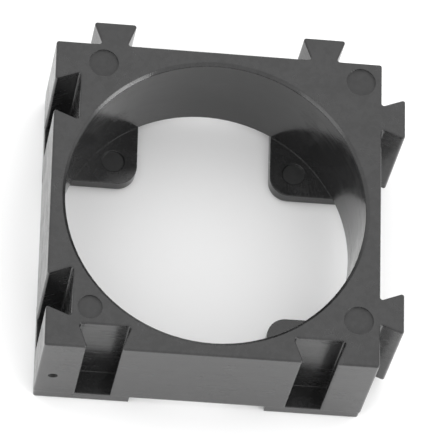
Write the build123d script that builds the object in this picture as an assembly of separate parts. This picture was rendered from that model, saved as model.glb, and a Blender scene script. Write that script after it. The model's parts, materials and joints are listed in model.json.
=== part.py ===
from build123d import *
from math import hypot, sqrt
import os

# A holder for one 18650 cell, moulded in one piece. Holders slide together
# along their dovetails into a square grid, with the cells standing upright.
#
# Frame: the origin is on the axis of the cell, at the seat plane where the
# end of the cell stops. +Z points out of the mouth. The sides with grooves
# face -X and -Y, and the sides with tongues face +X and +Y.

# Driving dimensions, in mm.
bore_d = 18.4               # round socket for the cell
wall_t = 0.9                # wall at the middle of a side, where it is thinnest
socket_depth = 7.5          # from the seat plane to the mouth
plate_t = 1.0               # corner pads under the seat plane
channel_w = 8.4             # cross channel between the pads, for the connecting strip
tab_corner_r = 1.2          # inner corner of each pad, seen inside the bore

groove_mouth_w = 2.0        # dovetail groove, at the side of the body
groove_floor_w = 3.2        # and at its floor
groove_depth = 1.55
corner_web = 0.65           # left between the two grooves at their shared corner
flank_gap = 0.2             # running clearance on each flank of a tongue
tip_gap = 0.08              # clearance between a tongue's tip and the groove's floor

edge_r = 0.15               # rounding of the upright edges
mouth_edge = 0.12           # rounding of the edge round the mouth face
mouth_lead = 0.2            # lead-in of the bore
pad_edge = 0.15             # broken edge round the outer face of each pad
parting_step = 0.05         # pads stand in from the body, at the mould's parting plane

ejector_d = 1.8             # round ejector marks in the mouth face, one in each corner
ejector_depth = 0.12
ejector_inset = 1.3         # from a side with tongues to the centre of a mark
ejector_margin = 0.5        # from the floor of a groove to the edge of a mark
shared_corner_d = 1.5       # mark in the corner between the two grooved sides
shared_corner_gap = 0.6     # from the bore to the edge of that mark
tab_mark_d = 1.4            # mark in the seat face of each tab
tab_mark_place = 0.65       # its centre, as a share of the way from the tab's corner to the bore
gate_d = 0.6                # dimple left where the mould's gate broke off
gate_depth = 0.12
gate_inset = 0.95           # from the corner of the body
gate_height = 2.7           # above the seat plane

# Derived sizes.
grid_pitch = bore_d + 2 * wall_t
half_side = grid_pitch / 2
pad_side = (grid_pitch - channel_w) / 2
rail_inset = groove_depth + groove_floor_w / 2 + corner_web / sqrt(2)
rail_offset = half_side - rail_inset
groove_wall = hypot(half_side - groove_depth, rail_offset - groove_floor_w / 2) - bore_d / 2
flank_slope = (groove_floor_w - groove_mouth_w) / 2 / groove_depth
flank_relief = flank_gap * sqrt(1 + flank_slope**2)
tongue_height = groove_depth - tip_gap
tongue_neck_w = groove_mouth_w - 2 * flank_relief
tongue_tip_w = tongue_neck_w + 2 * flank_slope * tongue_height
tab_corner = channel_w / 2
tab_end = bore_d / 2 / sqrt(2)


def dovetail(neck_w, wide_w, height):
    """Profile that widens towards +X from a neck on the Y axis."""
    return Polygon(
        (0, -neck_w / 2),
        (height, -wide_w / 2),
        (height, wide_w / 2),
        (0, neck_w / 2),
        align=None,
    )


def on_both_sides(profile, side_x):
    """The profile twice on the side at side_x, and twice on its neighbour 90 degrees on."""
    pair = [Pos(side_x, y) * profile for y in (-rail_offset, rail_offset)]
    return [Rot(0, 0, turn) * each for turn in (0, 90) for each in pair]


def body_plan():
    """Square outline with its grooves and tongues, every corner rounded."""
    groove = dovetail(groove_mouth_w, groove_floor_w, groove_depth)
    tongue = dovetail(tongue_neck_w, tongue_tip_w, tongue_height)
    outline = Rectangle(grid_pitch, grid_pitch)
    outline -= on_both_sides(groove, -half_side)
    outline += on_both_sides(tongue, half_side)
    return fillet(outline.vertices(), edge_r)


def socket_body():
    """Walls of the socket, from the seat plane to the mouth."""
    rim_limit = groove_wall / 3
    body = extrude(body_plan(), socket_depth)
    mouth_rim = body.faces().sort_by(Axis.Z)[-1].outer_wire().edges()
    body = fillet(mouth_rim, min(mouth_edge, rim_limit))
    body -= extrude(Circle(bore_d / 2), socket_depth)
    bore_rim = body.faces().sort_by(Axis.Z)[-1].inner_wires()[0].edges()
    return chamfer(bore_rim, min(mouth_lead, rim_limit))


def corner_pad():
    """Pad at the +X +Y corner. Its inner corner is the tab that stops the cell."""
    side = pad_side - parting_step
    centre = half_side - parting_step - side / 2
    plan = Pos(centre, centre) * Rectangle(side, side)
    inner_corner = plan.vertices().sort_by(Axis((0, 0, 0), (1, 1, 0)))[0]
    plan = fillet(inner_corner, tab_corner_r)
    plan = fillet(plan.vertices().sort_by(Axis((0, 0, 0), (1, 1, 0)))[-1], edge_r)
    pad = Pos(0, 0, -plate_t) * extrude(plan, plate_t)
    return chamfer(pad.faces().sort_by(Axis.Z)[0].edges(), pad_edge)


def ejector_cuts(marks, top):
    """One round cut in the face at height top for each x, y and diameter in marks."""
    low = top - ejector_depth
    return [Pos(x, y, low) * extrude(Circle(d / 2), ejector_depth) for x, y, d in marks]


def mouth_marks():
    """Ejector marks in the mouth face, one in each corner."""
    near_tongues = half_side - ejector_inset
    near_grooves = half_side - groove_depth - ejector_margin - ejector_d / 2
    near_corner = (bore_d / 2 + shared_corner_gap + shared_corner_d / 2) / sqrt(2)
    marks = (
        (near_tongues, near_tongues, ejector_d),
        (near_tongues, -near_grooves, ejector_d),
        (-near_grooves, near_tongues, ejector_d),
        (-near_corner, -near_corner, shared_corner_d),
    )
    return ejector_cuts(marks, socket_depth)


def tab_marks():
    """Ejector marks in the seat faces of the four tabs, on the diagonals."""
    reach = tab_corner + tab_mark_place * (tab_end - tab_corner)
    marks = [(x, y, tab_mark_d) for x in (-reach, reach) for y in (-reach, reach)]
    return ejector_cuts(marks, 0)


def gate_dimple():
    """Shallow round cut in the -Y face of the corner block between the grooved sides."""
    face = Plane(origin=(-half_side + gate_inset, -half_side, gate_height), z_dir=(0, 1, 0))
    return extrude(face * Circle(gate_d / 2), gate_depth)


holder = socket_body()
holder += [Rot(0, 0, turn) * corner_pad() for turn in (0, 90, 180, 270)]
holder -= mouth_marks()
holder -= tab_marks()
holder -= gate_dimple()

os.makedirs("parts", exist_ok=True)
export_step(holder, "parts/cell_bracket.step")
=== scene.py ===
import json
from math import cos, radians, sin

import bpy
from mathutils import Matrix, Vector


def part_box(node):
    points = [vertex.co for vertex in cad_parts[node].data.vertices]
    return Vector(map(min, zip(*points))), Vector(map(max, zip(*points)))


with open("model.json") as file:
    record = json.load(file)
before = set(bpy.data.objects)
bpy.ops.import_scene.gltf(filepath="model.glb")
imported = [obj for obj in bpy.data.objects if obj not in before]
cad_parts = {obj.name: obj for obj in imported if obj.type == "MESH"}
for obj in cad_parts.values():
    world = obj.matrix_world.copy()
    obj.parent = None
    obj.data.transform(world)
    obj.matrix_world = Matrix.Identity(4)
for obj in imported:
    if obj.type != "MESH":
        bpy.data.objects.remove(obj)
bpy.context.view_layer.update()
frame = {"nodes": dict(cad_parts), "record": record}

MM = 0.001
NODE = "cell_bracket"
low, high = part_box(NODE)
FLOOR_Z = low.z
SEAT_Z = 0.0                     # the frame's origin is in the seat plane
MOUTH_Z = high.z
BORE_R = next(m["dims"]["r_mm"] for m in frame["record"]["mounts"] if m["name"] == "cell_bore") * MM

# Where a point of the bracket counts as part of one of its features.
MARK_TOP = 0.06 * MM             # the floor of an ejector mark is deeper than this below its face
MARK_FLOOR = 0.25 * MM           # and less deep than this
FACING_UP = 0.95                 # Z of the normal above which a face counts as level
BORE_SKIN = 0.05 * MM            # how far outside the bore's radius its wall still counts

# Colour of the plastic. A tone of 0 is black, and a tone of 1 is as pale as a worn edge.
ABS_BLACK = (0.0095, 0.0095, 0.0097, 1.0)
ABS_WORN = (0.026, 0.026, 0.0265, 1.0)
CLOUD_TONE = 0.25
MOTTLE_TONE = 0.25
WEAR_TONE = 0.8
SCRATCH_TONE = 0.25

# Shine of the plastic.
ABS_IOR = 1.5
GLOSSY_PATCH = 0.17              # roughness of the glossier patches of a face
MATT_PATCH = 0.25                # and of the more matt ones
LINE_SMOOTHS = -0.02             # what the polishing lines add to it, from one line
LINE_ROUGHENS = 0.05             # to the next
SCRATCH_ROUGHENS = 0.06
BORE_POLISH = 0.08               # the bore and the tabs inside it are glossier by this
MARK_ROUGHNESS = 0.50            # ejector marks are matt

# Texture of the moulding.
CLOUD_SIZE = 1.3 * MM            # patches that are a little more or less glossy
CLOUD_TWIST = 0.4
MOTTLE_SIZE = 0.32 * MM          # small paler and darker flecks
GRAIN_SIZE = 0.09 * MM           # spark texture left by the mould
GRAIN_HEIGHT = 0.003 * MM
RIPPLE_SIZE = 2.6 * MM           # slow waves where the plastic shrank
RIPPLE_HEIGHT = 0.006 * MM
LINE_SIZE = 0.16 * MM            # polishing lines of the mould, level round the sides
LINE_STRETCH = 0.05
LINE_HEIGHT = 0.0025 * MM
EDGE_RADIUS = 0.09 * MM          # rounding seen on every edge
EDGE_SAMPLES = 6
SCUFF_SIZE = 0.7 * MM            # worn stretches along the edges

# Scratches of handling.
SCRATCH_SPACING = 1.1 * MM
SCRATCH_WIDTH = 0.035            # as a share of the spacing
SCRATCH_DEPTH = 0.002 * MM
SCRATCH_PATCH = 3.1 * MM         # size of the areas that have scratches, and of those that have none
SCRATCH_TILT = (0.5, 0.9, 0.3)   # turns the pattern away from the bracket's own faces
SCRATCH_LEAN = (0.2, 0.1)
SCRATCH_SETS = ((0.4, 9.0), (1.9, 7.0))    # direction of each set of scratches, and its stretch

# Camera, at the distance, angle and roll from which the photographed bracket was seen.
AZIMUTH = radians(-14.6)
ELEVATION = radians(65.0)
ROLL = radians(17.4)
CAMERA_DISTANCE = 272 * MM
FRAME_WIDTH = 27.1 * MM          # what the picture takes in at the bracket
SENSOR = 36.0
CLIP_START = 5 * MM

# Studio, in metres and watts.
FLOOR_HALF = 0.6
FLOOR_COLOUR = (0.93, 0.93, 0.93, 1.0)
FLOOR_ROUGHNESS = 0.6
SKY_COLOUR = (1.0, 1.0, 1.0, 1.0)
SKY_STRENGTH = 1.45
SOFTBOXES = (                    # name, place, diameter and power
    ("key", (0.48, -0.27, 0.15), 0.30, 1.5),
    ("fill", (-0.45, -0.28, 0.21), 0.30, 0.45),
    ("top", (0.06, 0.24, 0.52), 0.50, 0.25),
)


class Shader:
    """Short calls for the node tree of one material."""

    def __init__(self, name):
        self.material = bpy.data.materials.new(name)
        self.material.use_nodes = True
        self.tree = self.material.node_tree

    def node(self, kind, inputs=(), **settings):
        made = self.tree.nodes.new(kind)
        for key, value in settings.items():
            setattr(made, key, value)
        self.feed(made, inputs)
        return made

    def surface(self, inputs):
        """Feed the shader that every new material has."""
        self.feed(self.tree.nodes["Principled BSDF"], inputs)

    def feed(self, node, inputs):
        """Link each input that is a socket, and set each that is a plain value."""
        for name, value in dict(inputs).items():
            if isinstance(value, bpy.types.NodeSocket):
                self.tree.links.new(value, node.inputs[name])
            else:
                node.inputs[name].default_value = value

    def math(self, operation, a, b):
        return self.node("ShaderNodeMath", {0: a, 1: b}, operation=operation).outputs[0]

    def add(self, *terms):
        total = terms[0]
        for term in terms[1:]:
            total = self.math("ADD", total, term)
        return total

    def times(self, a, b):
        return self.math("MULTIPLY", a, b)

    def ramp(self, value, from_low, from_high, to_low=0.0, to_high=1.0):
        """Smooth step from one range of values to another, held at both ends."""
        inputs = {0: value, 1: from_low, 2: from_high, 3: to_low, 4: to_high}
        return self.node("ShaderNodeMapRange", inputs, interpolation_type="SMOOTHSTEP").outputs[0]

    def noise(self, place, size, detail, distortion=0.0):
        """Noise with features of one size. Most of its values lie between 0.3 and 0.7."""
        inputs = {"Vector": place, "Scale": 1 / size, "Detail": detail, "Distortion": distortion}
        return self.node("ShaderNodeTexNoise", inputs).outputs[0]

    def mapped(self, place, **inputs):
        """Place turned by Rotation and stretched by Scale."""
        return self.node("ShaderNodeMapping", {"Vector": place, **inputs}).outputs[0]

    def bump(self, height, distance, normal):
        inputs = {"Height": height, "Distance": distance, "Normal": normal}
        return self.node("ShaderNodeBump", inputs).outputs[0]

    def mixed_colour(self, first, second, factor):
        """Colour between two others. A mix node has its colours at sockets 6 and 7, and at output 2."""
        inputs = {0: factor, 6: first, 7: second}
        return self.node("ShaderNodeMix", inputs, data_type="RGBA", clamp_factor=True).outputs[2]


def ejector_marks(shader, split, normal):
    """1 on the floor of an ejector mark, in the mouth face or in a tab, and 0 elsewhere."""
    at_depth = []
    for face_z in (MOUTH_Z, SEAT_Z):
        depth = shader.math("SUBTRACT", face_z, split["Z"])
        deep = shader.math("GREATER_THAN", depth, MARK_TOP)
        at_depth.append(shader.times(deep, shader.math("LESS_THAN", depth, MARK_FLOOR)))
    facing_up = shader.node("ShaderNodeSeparateXYZ", {0: normal}).outputs["Z"]
    level = shader.math("GREATER_THAN", facing_up, FACING_UP)
    return shader.times(shader.math("MAXIMUM", *at_depth), level)


def inside_bore(shader, split):
    """1 on the wall of the bore and on what lies within its radius, and 0 elsewhere."""
    flat = shader.node("ShaderNodeCombineXYZ", {0: split["X"], 1: split["Y"]}).outputs[0]
    radius = shader.node("ShaderNodeVectorMath", {0: flat}, operation="LENGTH").outputs["Value"]
    return shader.math("LESS_THAN", radius, BORE_R + BORE_SKIN)


def worn_edges(shader, place, normal, rounded):
    """1 on the worn stretches of the edges, fading to 0 away from them.

    On an edge, the rounded normal turns away from the normal of the face, so their cosine drops.
    """
    alike = shader.node("ShaderNodeVectorMath", {0: rounded, 1: normal}, operation="DOT_PRODUCT")
    edge = shader.ramp(alike.outputs["Value"], 0.90, 0.995, 1.0, 0.0)
    scuffed = shader.ramp(shader.noise(place, SCUFF_SIZE, 4.0), 0.45, 0.7)
    return shader.times(edge, scuffed)


def fine_scratches(shader, place):
    """Thin, short, faint lines in scattered directions: 1 on a scratch, 0 elsewhere."""
    tilted = shader.mapped(place, Rotation=SCRATCH_TILT)
    layers = []
    for turn, stretch in SCRATCH_SETS:
        drawn_out = shader.mapped(tilted, Rotation=(*SCRATCH_LEAN, turn), Scale=(stretch, 1.0, 1.0))
        cells = shader.node(
            "ShaderNodeTexVoronoi",
            {"Vector": drawn_out, "Scale": 1 / SCRATCH_SPACING, "Randomness": 1.0},
            feature="DISTANCE_TO_EDGE",
        ).outputs[0]
        layers.append(shader.ramp(cells, 0.0, SCRATCH_WIDTH, 1.0, 0.0))
    where = shader.ramp(shader.noise(place, SCRATCH_PATCH, 2.0), 0.52, 0.66)
    return shader.times(shader.math("MAXIMUM", *layers), where)


def moulded_abs():
    """Black ABS as it leaves the mould: satin, faintly grained, with soft edges and a little wear."""
    shader = Shader("black_abs")
    place = shader.node("ShaderNodeTexCoord").outputs["Object"]
    split = shader.node("ShaderNodeSeparateXYZ", {0: place}).outputs
    normal = shader.node("ShaderNodeNewGeometry").outputs["Normal"]
    rounded = shader.node("ShaderNodeBevel", {"Radius": EDGE_RADIUS}, samples=EDGE_SAMPLES).outputs[0]

    mark = ejector_marks(shader, split, normal)
    in_bore = inside_bore(shader, split)
    wear = worn_edges(shader, place, normal, rounded)
    scratch = fine_scratches(shader, place)
    cloud = shader.noise(place, CLOUD_SIZE, 4.0, CLOUD_TWIST)
    mottle = shader.noise(place, MOTTLE_SIZE, 2.0)
    lines = shader.noise(shader.mapped(place, Scale=(LINE_STRETCH, LINE_STRETCH, 1.0)), LINE_SIZE, 3.0)
    grain = shader.noise(place, GRAIN_SIZE, 2.0)
    ripple = shader.noise(place, RIPPLE_SIZE, 1.0)

    tone = shader.add(
        shader.ramp(cloud, 0.3, 0.7, 0.0, CLOUD_TONE),
        shader.times(wear, WEAR_TONE),
        shader.ramp(mottle, 0.35, 0.65, 0.0, MOTTLE_TONE),
        shader.times(scratch, SCRATCH_TONE),
    )
    roughness = shader.add(
        shader.ramp(cloud, 0.3, 0.7, GLOSSY_PATCH, MATT_PATCH),
        shader.ramp(lines, 0.35, 0.65, LINE_SMOOTHS, LINE_ROUGHENS),
        shader.times(in_bore, -BORE_POLISH),
        shader.times(scratch, SCRATCH_ROUGHENS),
    )
    bumped = shader.bump(ripple, RIPPLE_HEIGHT, rounded)
    bumped = shader.bump(lines, LINE_HEIGHT, bumped)
    bumped = shader.bump(grain, GRAIN_HEIGHT, bumped)
    bumped = shader.bump(scratch, -SCRATCH_DEPTH, bumped)

    shader.surface({
        "Base Color": shader.mixed_colour(ABS_BLACK, ABS_WORN, tone),
        "Roughness": shader.math("MAXIMUM", roughness, shader.times(mark, MARK_ROUGHNESS)),
        "Normal": bumped,
        "IOR": ABS_IOR,
    })
    return shader.material


def studio_floor():
    """Plain pale floor under the pads of the bracket."""
    mesh = bpy.data.meshes.new("floor")
    signs = ((-1, -1), (1, -1), (1, 1), (-1, 1))
    corners = [(x * FLOOR_HALF, y * FLOOR_HALF, FLOOR_Z) for x, y in signs]
    mesh.from_pydata(corners, [], [(0, 1, 2, 3)])
    floor = bpy.data.objects.new("floor", mesh)
    bpy.context.scene.collection.objects.link(floor)
    shader = Shader("pale_floor")
    shader.surface({"Base Color": FLOOR_COLOUR, "Roughness": FLOOR_ROUGHNESS})
    mesh.materials.append(shader.material)


def softbox(name, place, diameter, power):
    """Round area light that faces the origin."""
    data = bpy.data.lights.new(name, "AREA")
    data.shape = "DISK"
    data.size = diameter
    data.energy = power
    lamp = bpy.data.objects.new(name, data)
    lamp.location = place
    lamp.rotation_euler = (-Vector(place)).to_track_quat("-Z", "Y").to_euler()
    bpy.context.scene.collection.objects.link(lamp)


def studio_light():
    """White sky all round, and three softboxes."""
    world = bpy.data.worlds.new("studio")
    world.use_nodes = True
    background = world.node_tree.nodes["Background"]
    background.inputs["Color"].default_value = SKY_COLOUR
    background.inputs["Strength"].default_value = SKY_STRENGTH
    bpy.context.scene.world = world
    for box in SOFTBOXES:
        softbox(*box)


def photo_camera():
    """Camera that looks at the middle of the bracket from the photo's side."""
    back = Vector((sin(AZIMUTH) * cos(ELEVATION), -cos(AZIMUTH) * cos(ELEVATION), sin(ELEVATION)))
    right = Vector((cos(AZIMUTH), sin(AZIMUTH), 0))
    up = back.cross(right)
    turn = Matrix((right, up, back)).transposed() @ Matrix.Rotation(ROLL, 3, "Z")
    target = (low + high) / 2
    data = bpy.data.cameras.new("camera")
    data.sensor_width = SENSOR
    data.lens = SENSOR * CAMERA_DISTANCE / FRAME_WIDTH
    data.clip_start = CLIP_START
    camera = bpy.data.objects.new("camera", data)
    camera.matrix_world = Matrix.Translation(target + back * CAMERA_DISTANCE) @ turn.to_4x4()
    bpy.context.scene.collection.objects.link(camera)
    bpy.context.scene.camera = camera


bracket = frame["nodes"][NODE]
bracket.data.materials.clear()
bracket.data.materials.append(moulded_abs())
studio_floor()
studio_light()
photo_camera()
bpy.context.scene.view_settings.view_transform = "Standard"
